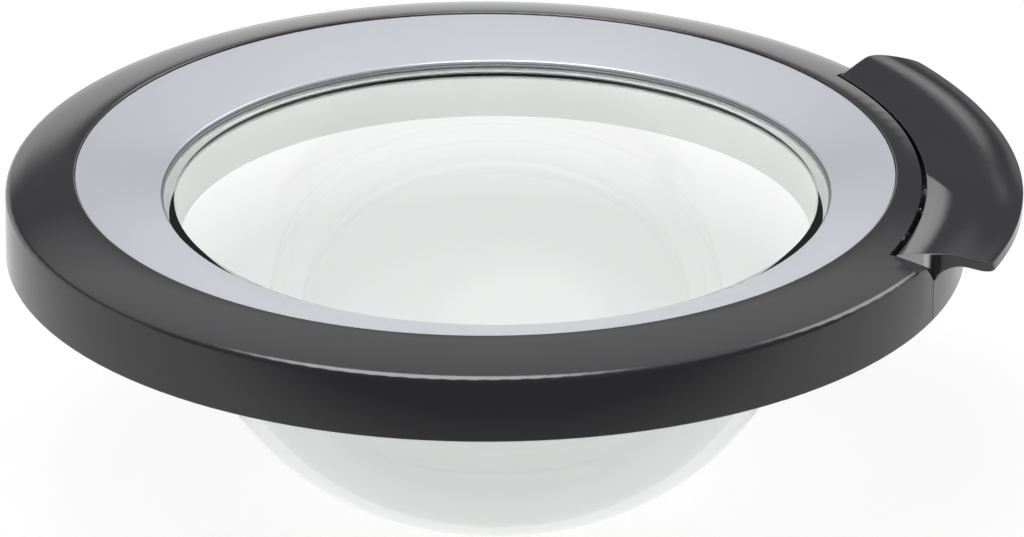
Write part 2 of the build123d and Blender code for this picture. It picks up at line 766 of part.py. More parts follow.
with BuildPart() as hinge_backing_plate:
    with BuildSketch(hinge_plan.offset(leaf_z + leaf_thickness + rear_plate_thickness)):
        with Locations((sum(leaf_screw_x) / 2, 0)):
            RectangleRounded(leaf_length - bracket_corner, 2 * leaf_half_width, bracket_corner / 2)
        with Locations(*leaf_screw_places):
            Circle(screw_radius + running_gap, mode=Mode.SUBTRACT)
    extrude(amount=backing_thickness)
write(hinge_backing_plate, "hinge_backing_plate")

# Hinge pin, fixed in the leaf, turning in two flanged bushes
with BuildPart() as hinge_pin:
    with BuildSketch(hinge_section):
        Circle(hinge_pin_radius)
    extrude(amount=ear_y + ear_thickness / 2 + pin_overhang, both=True)
    chamfer(hinge_pin.edges().filter_by(GeomType.CIRCLE), pin_overhang / 3)
write(hinge_pin, "hinge_pin")

for side, bush_name in ((-1, "hinge_bush_lower"), (1, "hinge_bush_upper")):
    bush_plane = Plane(
        origin=(hinge_x, side * (ear_y - ear_thickness / 2 - bush_flange), pin_standoff),
        x_dir=(1, 0, 0),
        z_dir=(0, side, 0),
    )
    with BuildPart() as hinge_bush:
        with BuildSketch(bush_plane):
            Circle(bush_flange_radius)
        extrude(amount=bush_flange)
        with BuildSketch(bush_plane):
            Circle(bush_radius)
        extrude(amount=bush_flange + ear_thickness)
        with BuildSketch(bush_plane):
            Circle(hinge_pin_radius + running_gap)
        extrude(amount=2 * ear_thickness, mode=Mode.SUBTRACT)
    write(hinge_bush, bush_name)


def screws(places, head_z, shank_length):
    """Pan-head screws standing at the given plan places, heads down, as one group of solids."""
    with BuildPart() as group:
        with BuildSketch(ring_plan.offset(head_z)):
            with Locations(*places):
                Circle(screw_radius)
        extrude(amount=shank_length)
        with BuildSketch(ring_plan.offset(head_z)):
            with Locations(*places):
                Circle(screw_head_radius)
        extrude(amount=-screw_head_height)
        fillet(group.edges().filter_by(GeomType.CIRCLE).group_by(Axis.Z)[0], screw_head_height / 3)
    return group


clamp_screws = screws(screw_places, rear_plate_z, rear_plate_thickness + screw_depth - screw_radius)
write(clamp_screws, "clamp_screws")

housing_screws = screws(housing_screw_places, rear_plate_z, rear_plate_thickness + floor_thickness)
write(housing_screws, "housing_screws")

hinge_screws = screws(
    [(x - hinge_reach, y) for x, y in leaf_screw_places],
    rear_plate_z - leaf_thickness,
    leaf_thickness + rear_plate_thickness + backing_thickness,
)
write(hinge_screws, "hinge_screws")
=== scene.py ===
"""Looks of a front-loading washing machine door.

Gloss ring, funnel trim, glass bowl, pull handle, hinge and latch, built round the CAD part's frame.
"""

import math

import bmesh
import bpy
from bpy.props import FloatProperty, FloatVectorProperty, IntProperty, PointerProperty
from mathutils import Matrix, Vector
from mathutils.geometry import interpolate_bezier


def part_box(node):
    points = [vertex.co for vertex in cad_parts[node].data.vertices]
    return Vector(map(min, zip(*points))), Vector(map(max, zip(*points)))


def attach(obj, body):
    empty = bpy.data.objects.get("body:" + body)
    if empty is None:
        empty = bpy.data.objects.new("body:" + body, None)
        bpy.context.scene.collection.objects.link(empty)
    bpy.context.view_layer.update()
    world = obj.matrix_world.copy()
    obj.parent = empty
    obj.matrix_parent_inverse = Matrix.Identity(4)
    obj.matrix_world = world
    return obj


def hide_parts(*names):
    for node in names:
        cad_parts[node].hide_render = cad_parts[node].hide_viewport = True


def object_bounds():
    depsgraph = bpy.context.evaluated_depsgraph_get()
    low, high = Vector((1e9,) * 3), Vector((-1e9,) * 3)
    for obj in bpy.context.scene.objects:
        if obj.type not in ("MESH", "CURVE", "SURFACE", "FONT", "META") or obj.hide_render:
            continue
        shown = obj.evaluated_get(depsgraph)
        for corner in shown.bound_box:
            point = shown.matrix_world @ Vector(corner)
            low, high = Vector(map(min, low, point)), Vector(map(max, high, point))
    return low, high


bl_info = {
    "name": "Washing machine door",
    "version": (1, 0, 0),
    "blender": (4, 5, 0),
    "location": "3D View > Sidebar > Door",
    "description": "Builds the visible pieces of a washing machine door round its frame",
    "category": "Object",
}

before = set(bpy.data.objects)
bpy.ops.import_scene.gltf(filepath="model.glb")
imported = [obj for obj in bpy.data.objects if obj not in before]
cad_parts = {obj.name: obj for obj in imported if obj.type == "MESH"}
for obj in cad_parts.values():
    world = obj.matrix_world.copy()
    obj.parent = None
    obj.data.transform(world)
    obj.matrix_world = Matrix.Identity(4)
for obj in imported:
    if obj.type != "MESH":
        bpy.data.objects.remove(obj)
CAD_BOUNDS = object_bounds()
RING_LOW, RING_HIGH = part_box("front_ring")
RING_RADIUS = (RING_HIGH.y - RING_LOW.y) / 2
RING_AXIS = Vector((RING_LOW.x + RING_RADIUS, 0, RING_LOW.z))
BOWL_LOW, BOWL_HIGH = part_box("glass_bowl")
GLASS_AXIS = Vector(((BOWL_LOW.x + BOWL_HIGH.x) / 2, 0, RING_LOW.z))

# Mesh tolerances, in metres, and the angles above which an edge stays sharp
WELD_DISTANCE = 0.00001
MERGE_DISTANCE = 0.000005
RADIUS_TOLERANCE = 0.00002
LEVEL_TOLERANCE = 0.00001
CAD_SHARP_ANGLE = math.radians(28)
SHARP_ANGLE = math.radians(30)

# Small sizes of the pieces, in metres, and their steps
ROUND_SEGMENTS = 4
TRIM_ROUND = 0.0007
SEAL_INSET = 0.0005
SEAL_STEPS = 16
BOWL_STEPS = 56
BORDER_START = 0.0010  # the ground border begins this far outside the neck
NECK_SKIN = 0.0035  # faces this near the neck's outside are its back
NECK_TOP_GAP = 0.0001
NECK_FOOT = 0.004

# Finishes
CLOUD_DETAIL = 4.0
GRAIN_DETAIL = 2.0
CLOUD_SPAN = (0.3, 0.7)
BUMP_DISTANCE = 0.0002
EDGE_SAMPLES = 6
GLOSS = {"rough": (0.07, 0.13), "cloud": 14, "grain": 700, "bump": 0.02, "IOR": 1.48}
GLASS_IOR = 1.5
NECK_TINT = (0.985, 0.99, 0.988, 1)
TINT_START = 0.004  # above the rear plane
TINT_FULL = 0.035  # below the rear plane

# Leans of the handle's shading: metres from the inner arc, or along X and Y from the ring's axis
ARC_CENTRE = (-0.025, -0.0043)
ARC_RADIUS = 0.2312
SCOOP_START = 0.0116
SCOOP_SLANT = 2.04
SCOOP_EDGE = (0.0, 0.005)
SCOOP_WIDTH = (0.018, 0.004)
SCOOP_RUN = (-0.09, 0.05)
SCOOP_LEAN = 0.125
RIM_WIDTH = (0.026, 0.040)
RIM_RUN = (-0.045, 0.01)
RIM_LEAN = -0.11
END_FACING = (-0.6, -0.8)
END_RUN = (0.210, 0.190)
END_LEAN = 1.45

# Floor
FLOOR_DROP = 0.0002
FLOOR_REACH = 8
FLOOR_GREY = (0.86, 0.86, 0.86, 1)
FLOOR_WHITE = 0.85  # share of plain white that the camera sees
FADE_BEFORE = 0.25
FADE_BEHIND = 0.2
FADE_LEVEL = 0.12

# World: grey levels over the direction's height, then what each kind of ray sees
SKY_LEVELS = ((0.22, 1.0), (0.32, 0.13), (0.43, 0.15), (0.6, 0.95), (0.8, 1.1), (1.0, 1.1))
ROOM_EDGE = 0.08
ROOM_LEVEL = 0.22
ROOM_HEIGHT = (0.8, 0.3)
SOFT_PATCHES = (  # direction, outer and inner half angle in degrees, level
    ((-0.2, -0.33, 0.923), 36, 16, 9.0),
    ((0.75, 0.27, 0.6), 24, 10, 5.0),
)
PATCH_LOSS = 0.9  # how much of the patches a perfectly sharp reflection loses
DIFFUSE_SKY = (0.4, 0.4, 0.4, 1)
PASSED_BOOST = 1.5
THROUGH_WHITE = 0.7

# Lamps: place from the ring's axis, width and depth in metres
LAMPS = {
    "overhead": ((-0.1, -0.15, 1.5), 1.3, 0.8),
    "side": ((1.6, -0.5, 0.6), 0.5, 0.9),
}
SENSOR_WIDTH = 36.0
CLIP_RANGE = (0.1, 100.0)


def length(name, description, default):
    """A size in metres that a user may change."""
    return FloatProperty(
        name=name, description=description, default=default, min=0.0, unit="LENGTH", precision=4
    )


def setting(name, description, default, unit="NONE"):
    """A number of the stage that a user may change."""
    return FloatProperty(name=name, description=description, default=default, unit=unit)


def colour(name, description, default):
    """A finish's colour that a user may change."""
    return FloatVectorProperty(
        name=name,
        description=description,
        default=default,
        size=3,
        min=0.0,
        max=1.0,
        subtype="COLOR",
    )


class DoorSizes(bpy.types.PropertyGroup):
    """Sizes of the pieces modelled here, in metres, from the ring's axis and rear plane."""

    trim_outer: length("Trim outer radius", "Outer edge of the funnel trim", 0.1922)
    trim_mouth: length("Trim mouth height", "Height of the trim's outer edge", 0.0387)
    trim_inner: length("Trim inner radius", "Inner edge of the funnel trim", 0.157)
    trim_throat: length("Trim throat height", "Height of the trim's inner edge", 0.0289)
    trim_foot: length("Trim foot height", "Lower edge of the trim's inner lip", 0.0274)
    glass_top: length("Glass top height", "Upper face of the glass flange", 0.0258)
    seal_width: length("Seal width", "Thickness of the seal under the trim's lip", 0.0015)
    trim_wall: length("Trim wall", "Thickness of the trim", 0.0022)
    glass_wall: length("Glass wall", "Thickness of the glass", 0.005)
    glass_flange: length("Glass flange radius", "Outer edge of the clamped flange", 0.168)
    glass_neck: length("Glass neck radius", "Outside of the bowl below its flange", 0.156)
    glass_depth: length("Glass depth", "Bottom of the bowl below the rear plane", 0.130)
    handle_edge: length("Handle edge", "Softened shading of the handle's edges", 0.0008)
    round_steps: IntProperty(
        name="Steps", description="Steps round each turned piece", default=256, min=64, max=512
    )


class DoorFinishes(bpy.types.PropertyGroup):
    """Colours of the finishes."""

    graphite: colour("Graphite", "Gloss plastic of the ring and handle", (0.011, 0.011, 0.012))
    trim: colour("Trim", "Silver funnel trim", (0.345, 0.352, 0.385))
    glass: colour("Glass", "Tint of the bowl", (0.785, 0.80, 0.79))
    # Dark rubber of the seal; this darkness is also painted shade for the gap between the trim's
    # lip and the glass
    seal_and_gap_shade: colour("Seal", "Rubber between the trim and the glass", (0.10, 0.105, 0.11))
    carrier: colour("Carrier", "Plastic housing under the handle", (0.045, 0.046, 0.049))
    ground: colour("Ground edge", "Matt border of the glass under the trim", (0.78, 0.79, 0.78))
    rear: colour("Rear ring", "White plastic behind the door", (0.92, 0.92, 0.91))
    cast: colour("Cast metal", "Hinge and hook", (0.50, 0.51, 0.53))
    steel: colour("Plated steel", "Pins, springs and screws", (0.60, 0.61, 0.62))
    bush: colour("Bush", "Hinge bushes", (0.66, 0.64, 0.58))


class StageSettings(bpy.types.PropertyGroup):
    """Camera and light."""

    azimuth: setting("Azimuth", "Camera's turn round the door", -5.2)
    elevation: setting("Elevation", "Camera's height above the horizon", 23.4)
    distance: length("Distance", "Camera to the ring's centre", 10.0)
    aim_right: setting("Aim right", "Camera moved sideways", 0.0125, "LENGTH")
    aim_down: setting("Aim down", "Camera moved down", 0.0097, "LENGTH")
    overhead: setting("Overhead", "Power of the overhead softbox", 9.0, "POWER")
    side: setting("Side", "Power of the softbox at the handle", 3.0, "POWER")
    table_front: length("Table front", "Where the floor's reflection fades, before the ring", 0.45)
    lens: setting("Lens", "Focal length in millimetres", 749.4)


# Shared shader groups


def fine_surface():
    """Group: cloudy roughness and a fine bump height on object coordinates."""
    group = bpy.data.node_groups.get("fine_surface")
    if group:
        return group
    group = bpy.data.node_groups.new("fine_surface", "ShaderNodeTree")
    face = group.interface
    defaults = {"Cloud scale": 18.0, "Grain scale": 900.0, "Low": 0.1, "High": 0.2}
    for name, default in defaults.items():
        socket = face.new_socket(name, in_out="INPUT", socket_type="NodeSocketFloat")
        socket.default_value = default
    for name in ("Roughness", "Height", "Cloud"):
        face.new_socket(name, in_out="OUTPUT", socket_type="NodeSocketFloat")
    nodes, links = group.nodes, group.links
    inputs = nodes.new("NodeGroupInput")
    outputs = nodes.new("NodeGroupOutput")
    place = nodes.new("ShaderNodeTexCoord")
    cloud = nodes.new("ShaderNodeTexNoise")
    cloud.inputs["Detail"].default_value = CLOUD_DETAIL
    grain = nodes.new("ShaderNodeTexNoise")
    grain.inputs["Detail"].default_value = GRAIN_DETAIL
    spread = nodes.new("ShaderNodeMapRange")
    spread.inputs["From Min"].default_value, spread.inputs["From Max"].default_value = CLOUD_SPAN
    links.new(place.outputs["Object"], cloud.inputs["Vector"])
    links.new(place.outputs["Object"], grain.inputs["Vector"])
    links.new(inputs.outputs["Cloud scale"], cloud.inputs["Scale"])
    links.new(inputs.outputs["Grain scale"], grain.inputs["Scale"])
    links.new(cloud.outputs["Fac"], spread.inputs["Value"])
    links.new(inputs.outputs["Low"], spread.inputs["To Min"])
    links.new(inputs.outputs["High"], spread.inputs["To Max"])
    links.new(spread.outputs["Result"], outputs.inputs["Roughness"])
    links.new(grain.outputs["Fac"], outputs.inputs["Height"])
    links.new(cloud.outputs["Fac"], outputs.inputs["Cloud"])
    return group


def finish_material(name, base, *, rough, cloud, grain, bump, shift=0.12, edge=0.0, **fixed):
    """A finish whose colour drifts a little, with cloudy roughness and a fine bump.

    A given edge softens the shading across edges. Other values go to the shader's own sockets.
    """
    material = bpy.data.materials.get(name)
    if material:
        return material
    material = bpy.data.materials.new(name)
    material.use_nodes = True
    nodes, links = material.node_tree.nodes, material.node_tree.links
    shader = nodes["Principled BSDF"]
    surface = nodes.new("ShaderNodeGroup")
    surface.node_tree = fine_surface()
    surface.inputs["Cloud scale"].default_value = cloud
    surface.inputs["Grain scale"].default_value = grain
    surface.inputs["Low"].default_value, surface.inputs["High"].default_value = rough
    drift = nodes.new("ShaderNodeMix")
    drift.data_type = "RGBA"
    drift.inputs["A"].default_value = (*[c * (1 - shift) for c in base], 1)
    drift.inputs["B"].default_value = (*[min(1.0, c * (1 + shift)) for c in base], 1)
    links.new(surface.outputs["Cloud"], drift.inputs["Factor"])
    links.new(drift.outputs["Result"], shader.inputs["Base Color"])
    links.new(surface.outputs["Roughness"], shader.inputs["Roughness"])
    height = nodes.new("ShaderNodeBump")
    height.inputs["Strength"].default_value = bump
    height.inputs["Distance"].default_value = BUMP_DISTANCE
    links.new(surface.outputs["Height"], height.inputs["Height"])
    if edge:
        rounding = nodes.new("ShaderNodeBevel")
        rounding.samples = EDGE_SAMPLES
        rounding.inputs["Radius"].default_value = edge
        links.new(rounding.outputs["Normal"], height.inputs["Normal"])
    links.new(height.outputs["Normal"], shader.inputs["Normal"])
    for socket, value in fixed.items():
        shader.inputs[socket].default_value = value
    return material


def glass_material(tint):
    """Clear pressed glass, a little deeper in tint towards the bottom of the bowl."""
    material = bpy.data.materials.new("pressed_glass")
    material.use_nodes = True
    nodes, links = material.node_tree.nodes, material.node_tree.links
    shader = nodes["Principled BSDF"]
    shader.inputs["IOR"].default_value = GLASS_IOR
    shader.inputs["Transmission Weight"].default_value = 1.0
    shader.inputs["Roughness"].default_value = 0.0
    place = nodes.new("ShaderNodeTexCoord")
    split = nodes.new("ShaderNodeSeparateXYZ")
    down = nodes.new("ShaderNodeMapRange")
    down.inputs["From Min"].default_value = RING_AXIS.z + TINT_START
    down.inputs["From Max"].default_value = RING_AXIS.z - TINT_FULL
    deepen = nodes.new("ShaderNodeMix")
    deepen.data_type = "RGBA"
    deepen.inputs["A"].default_value = NECK_TINT
    deepen.inputs["B"].default_value = (*tint, 1)
    links.new(place.outputs["Object"], split.inputs["Vector"])
    links.new(split.outputs["Z"], down.inputs["Value"])
    links.new(down.outputs["Result"], deepen.inputs["Factor"])
    links.new(deepen.outputs["Result"], shader.inputs["Base Color"])
    return material


def steps_of(nodes, links, start, *steps):
    """A chain of plain sums: each step is an operation and the number or socket it takes."""
    value = start
    for operation, other in steps:
        node = nodes.new("ShaderNodeMath")
        node.operation = operation
        links.new(value, node.inputs[0])
        if isinstance(other, float):
            node.inputs[1].default_value = other
        else:
            links.new(other, node.inputs[1])
        value = node.outputs["Value"]
    return value


def smooth_range(nodes, links, value, low, high):
    """A smooth step from 0 at low to 1 at high."""
    node = nodes.new("ShaderNodeMapRange")
    node.interpolation_type = "SMOOTHSTEP"
    node.inputs["From Min"].default_value = low
    node.inputs["From Max"].default_value = high
    links.new(value, node.inputs["Value"])
    return node.outputs["Result"]


def lean_back(material):
    """Leans the handle's shading normal in three places; the mesh stays as it is.

    The thumb scoop along the inner edge, more towards the front tip; the rear rim, which gets
    calmer; and the front end face, which looks up.
    """
    nodes, links = material.node_tree.nodes, material.node_tree.links
    shader = nodes["Principled BSDF"]
    plain = shader.inputs["Normal"].links[0].from_socket
    place = nodes.new("ShaderNodeTexCoord")
    split = nodes.new("ShaderNodeSeparateXYZ")
    flat = nodes.new("ShaderNodeVectorMath")
    flat.operation = "MULTIPLY"
    flat.inputs[1].default_value = (1, 1, 0)
    reach = nodes.new("ShaderNodeVectorMath")
    reach.operation = "DISTANCE"
    reach.inputs[1].default_value = (RING_AXIS.x + ARC_CENTRE[0], ARC_CENTRE[1], 0)
    links.new(place.outputs["Object"], split.inputs["Vector"])
    links.new(place.outputs["Object"], flat.inputs[0])
    links.new(flat.outputs["Vector"], reach.inputs[0])

    # Scoop
    across = steps_of(nodes, links, reach.outputs["Value"], ("SUBTRACT", ARC_RADIUS))
    along = steps_of(
        nodes, links, split.outputs["Y"], ("MULTIPLY", -1.0), ("SUBTRACT", SCOOP_START)
    )
    slant = steps_of(nodes, links, across, ("MULTIPLY", SCOOP_SLANT))
    past = steps_of(nodes, links, along, ("SUBTRACT", slant))
    begun = smooth_range(nodes, links, past, *SCOOP_EDGE)
    near = smooth_range(nodes, links, across, *SCOOP_WIDTH)
    more = smooth_range(nodes, links, along, *SCOOP_RUN)
    scoop = steps_of(
        nodes, links, begun, ("MULTIPLY", near), ("MULTIPLY", more), ("MULTIPLY", SCOOP_LEAN)
    )

    # Rear rim
    rim = smooth_range(nodes, links, across, *RIM_WIDTH)
    rear = smooth_range(nodes, links, split.outputs["Y"], *RIM_RUN)
    crest = steps_of(nodes, links, rim, ("MULTIPLY", rear), ("MULTIPLY", RIM_LEAN))
    backward = steps_of(nodes, links, scoop, ("ADD", crest))

    # Front end face
    facing = nodes.new("ShaderNodeNewGeometry")
    aspect = nodes.new("ShaderNodeSeparateXYZ")
    links.new(facing.outputs["True Normal"], aspect.inputs["Vector"])
    end = smooth_range(nodes, links, aspect.outputs["Y"], *END_FACING)
    tip_range = [RING_AXIS.x + reach_out for reach_out in END_RUN]
    tip = smooth_range(nodes, links, split.outputs["X"], *tip_range)
    upward = steps_of(nodes, links, end, ("MULTIPLY", tip), ("MULTIPLY", END_LEAN))

    lean = nodes.new("ShaderNodeCombineXYZ")
    total = nodes.new("ShaderNodeVectorMath")
    unit = nodes.new("ShaderNodeVectorMath")
    unit.operation = "NORMALIZE"
    links.new(backward, lean.inputs["Y"])
    links.new(upward, lean.inputs["Z"])
    links.new(plain, total.inputs[0])
    links.new(lean.outputs["Vector"], total.inputs[1])
    links.new(total.outputs["Vector"], unit.inputs[0])
    links.new(unit.outputs["Vector"], shader.inputs["Normal"])


# Shared mesh steps


def dress(material, *names):
    """Gives CAD nodes their finish and smooth shading between their sharp edges."""
    for name in names:
        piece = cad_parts[name]
        piece.data.materials.clear()
        piece.data.materials.append(material)
        for face in piece.data.polygons:
            face.use_smooth = True
        weld = piece.modifiers.new("weld", "WELD")
        weld.merge_threshold = WELD_DISTANCE
        split = piece.modifiers.new("sharp edges", "EDGE_SPLIT")
        split.split_angle = CAD_SHARP_ANGLE


def ring_loop(bm, axis, radius, height, steps):
    """Edges of one circle about an upright axis."""
    lifted = Matrix.Translation((axis.x, axis.y, axis.z + height))
    made = bmesh.ops.create_circle(bm, segments=steps, radius=radius, matrix=lifted)
    return list({edge for vert in made["verts"] for edge in vert.link_edges})


def turn_full(bm, steps):
    """Spins everything in a mesh all the way round the glass's axis."""
    bmesh.ops.spin(
        bm,
        geom=bm.verts[:] + bm.edges[:],
        cent=GLASS_AXIS,
        axis=(0, 0, 1),
        angle=math.tau,
        steps=steps,
        use_merge=True,
    )


def round_edges(bm, edges, offset):
    """Rounds edges with a bevel."""
    bmesh.ops.bevel(
        bm,
        geom=edges,
        offset=offset,
        segments=ROUND_SEGMENTS,
        profile=0.5,
        affect="EDGES",
        material=-1,
    )


def on_circle(edge, radius):
    """Whether an edge is level and lies on a circle about the glass's axis."""
    first, second = edge.verts
    return abs(first.co.z - second.co.z) < LEVEL_TOLERANCE and all(
        abs((vert.co - GLASS_AXIS).xy.length - radius) < RADIUS_TOLERANCE for vert in edge.verts
    )


def close_piece(bm, name, body, material, *nodes):
    """Merges, orients and shades a mesh, and puts it on its body, in place of any CAD nodes."""
    bmesh.ops.remove_doubles(bm, verts=bm.verts, dist=MERGE_DISTANCE)
    bmesh.ops.recalc_face_normals(bm, faces=bm.faces)
    for face in bm.faces:
        face.smooth = True
    for edge in bm.edges:
        edge.smooth = edge.calc_face_angle(0.0) < SHARP_ANGLE
    mesh = bpy.data.meshes.new(name)
    bm.to_mesh(mesh)
    bm.free()
    mesh.materials.append(material)
    piece = bpy.data.objects.new(name, mesh)
    bpy.context.scene.collection.objects.link(piece)
    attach(piece, body)
    if nodes:
        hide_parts(*nodes)
    return piece


# Pieces


class DOOR_OT_front_ring(bpy.types.Operator):
    """Dresses the dark outer ring"""

    bl_idname = "door.front_ring"
    bl_label = "Front ring"

    def execute(self, context):
        finish = context.scene.door_finishes
        dress(finish_material("ring_gloss", finish.graphite, **GLOSS), "front_ring")
        return {"FINISHED"}


class DOOR_OT_trim_ring(bpy.types.Operator):
    """Builds the funnel trim from circles about two axes, and the dark seal under its lip, whose
    darkness also paints the shade in the gap there
    """

    bl_idname = "door.trim_ring"
    bl_label = "Trim ring"

    def execute(self, context):
        size, finish = context.scene.door_sizes, context.scene.door_finishes
        plate = finish_material(
            "funnel_silver",
            finish.trim,
            rough=(0.27, 0.34),
            cloud=9,
            grain=1200,
            bump=0.02,
            shift=0.03,
            Metallic=0.5,
        )
        bm = bmesh.new()
        steps, wall = size.round_steps, size.trim_wall
        loops = [
            ring_loop(bm, axis, radius, height, steps)
            for axis, radius, height in (
                (RING_AXIS, size.trim_outer, size.trim_mouth),
                (GLASS_AXIS, size.trim_inner, size.trim_throat),
                (GLASS_AXIS, size.trim_inner, size.trim_foot),
                (GLASS_AXIS, size.trim_inner + wall, size.trim_foot),
                (GLASS_AXIS, size.trim_inner + wall, size.trim_throat - wall / 2),
                (RING_AXIS, size.trim_outer - wall, size.trim_mouth - wall),
                (RING_AXIS, size.trim_outer - wall, size.glass_top),
                (RING_AXIS, size.trim_outer, size.glass_top),
            )
        ]
        rims = loops[0] + loops[1]
        for near, far in zip(loops, loops[1:] + loops[:1]):
            bmesh.ops.bridge_loops(bm, edges=near + far)
        round_edges(bm, rims, TRIM_ROUND)
        close_piece(bm, "trim_funnel", "door", plate, "trim_ring")

        # Thin dark seal between the trim's lip and the glass: a rubber seal whose dark colour is
        # also painted shade, standing in for the shadow in the gap between trim and glass
        rubber_and_gap_shade = finish_material(
            "seal_rubber", finish.seal_and_gap_shade, rough=(0.4, 0.55), cloud=40, grain=1500, bump=0.2
        )
        bm = bmesh.new()
        half = size.seal_width / 2
        section = GLASS_AXIS + Vector((size.trim_inner - SEAL_INSET, 0, size.glass_top + half))
        upright = Matrix.Translation(section) @ Matrix.Rotation(math.radians(90), 4, "X")
        bmesh.ops.create_circle(bm, segments=SEAL_STEPS, radius=half, matrix=upright)
        turn_full(bm, steps)
        seal_and_gap_shade = close_piece(bm, "glass_seal", "door", rubber_and_gap_shade)
        return {"FINISHED"}


class DOOR_OT_glass_bowl(bpy.types.Operator):
    """Turns the glass bowl from its section"""

    bl_idname = "door.glass_bowl"
    bl_label = "Glass bowl"

    def execute(self, context):
        size, finish = context.scene.door_sizes, context.scene.door_finishes
        wall, neck, depth = size.glass_wall, size.glass_neck, size.glass_depth
        flange, seat = size.glass_flange, size.glass_top - wall

        def at(radius, height):
            return GLASS_AXIS + Vector((radius, 0, height))

        outside = interpolate_bezier(
            at(neck, seat),
            at(neck - 2 * wall, -depth / 2),
            at(2 * neck / 3, -depth),
            at(0, -depth),
            BOWL_STEPS,
        )
        inside = interpolate_bezier(
            at(neck - wall, seat + wall),
            at(neck - 3 * wall, wall - depth / 2),
            at(2 * neck / 3 - wall, wall - depth),
            at(0, wall - depth),
            BOWL_STEPS,
        )
        hidden = neck + BORDER_START
        border = [at(hidden, seat + wall), at(flange, seat + wall), at(flange, seat)]
        bm = bmesh.new()
        verts = [bm.verts.new(point) for point in [*reversed(inside), *border, *outside]]
        for near, far in zip(verts, verts[1:]):
            bm.edges.new((near, far))
        turn_full(bm, size.round_steps)
        bmesh.ops.remove_doubles(bm, verts=bm.verts, dist=MERGE_DISTANCE)
        round_edges(bm, [edge for edge in bm.edges if on_circle(edge, flange)], wall / 4)
        for face in bm.faces:
            middle = face.calc_center_median() - GLASS_AXIS
            radius = middle.xy.length
            within_neck = size.glass_top - NECK_TOP_GAP > middle.z > NECK_FOOT
            behind_neck = radius > neck - NECK_SKIN and within_neck
            face.material_index = 1 if radius > hidden or behind_neck else 0
        bowl = close_piece(bm, "bowl", "door", glass_material(finish.glass), "glass_bowl")
        ground = finish_material(
            "ground_edge",
            finish.ground,
            rough=(0.5, 0.65),
            cloud=30,
            grain=1400,
            bump=0.2,
            shift=0.03,
        )
        bowl.data.materials.append(ground)
        return {"FINISHED"}


class DOOR_OT_handle(bpy.types.Operator):
    """Dresses the pull handle and its carrier"""

    bl_idname = "door.handle"
    bl_label = "Handle"

    def execute(self, context):
        size, finish = context.scene.door_sizes, context.scene.door_finishes
        gloss = finish_material("handle_gloss", finish.graphite, edge=size.handle_edge, **GLOSS)
        lean_back(gloss)
        satin = finish_material(
            "carrier_satin",
            finish.carrier,
            rough=(0.16, 0.24),
            cloud=20,
            grain=900,
            bump=0.04,
            IOR=1.45,
        )
        dress(gloss, "handle")
        dress(satin, "handle_housing")
        return {"FINISHED"}


class DOOR_OT_rear_ring(bpy.types.Operator):
    """Dresses the rear ring"""

    bl_idname = "door.rear_ring"
    bl_label = "Rear ring"

    def execute(self, context):
        finish = context.scene.door_finishes
        matte = finish_material(
            "rear_matte",
            finish.rear,
            rough=(0.45, 0.6),
            cloud=25,
            grain=1100,
            bump=0.15,
            shift=0.02,
        )
        dress(matte, "rear_ring")
        return {"FINISHED"}


class DOOR_OT_metalwork(bpy.types.Operator):
    """Dresses the hinge, the latch and the fasteners"""

    bl_idname = "door.metalwork"
    bl_label = "Metalwork"

    def execute(self, context):
        finish = context.scene.door_finishes
        cast = finish_material(
            "cast_grey",
            finish.cast,
            rough=(0.38, 0.5),
            cloud=40,
            grain=800,
            bump=0.3,
            Metallic=1.0,
        )
        steel = finish_material(
            "plated_steel",
            finish.steel,
            rough=(0.22, 0.34),
            cloud=60,
            grain=1500,
            bump=0.06,
            Metallic=1.0,
        )
        bush = finish_material(
            "bush_nylon", finish.bush, rough=(0.4, 0.5), cloud=60, grain=1000, bump=0.1
        )
        dress(cast, "hinge_bracket", "hinge_leaf", "latch_hook")
        dress(steel, "hinge_pin", "handle_pins", "hook_pin", "handle_springs", "hook_spring")
        dress(steel, "hinge_backing_plate", "clamp_screws", "housing_screws", "hinge_screws")
        dress(bush, "hinge_bush_upper", "hinge_bush_lower")
        return {"FINISHED"}


# Stage


def fill_ramp(ramp, stops):
    """Sets a ramp's grey levels from pairs of position and level."""
    elements = ramp.color_ramp.elements
    elements[0].position, elements[1].position = stops[0][0], stops[-1][0]
    for position, _ in stops[1:-1]:
        elements.new(position)
    for element, (_, level) in zip(elements, stops):
        element.color = (level, level, level, 1)


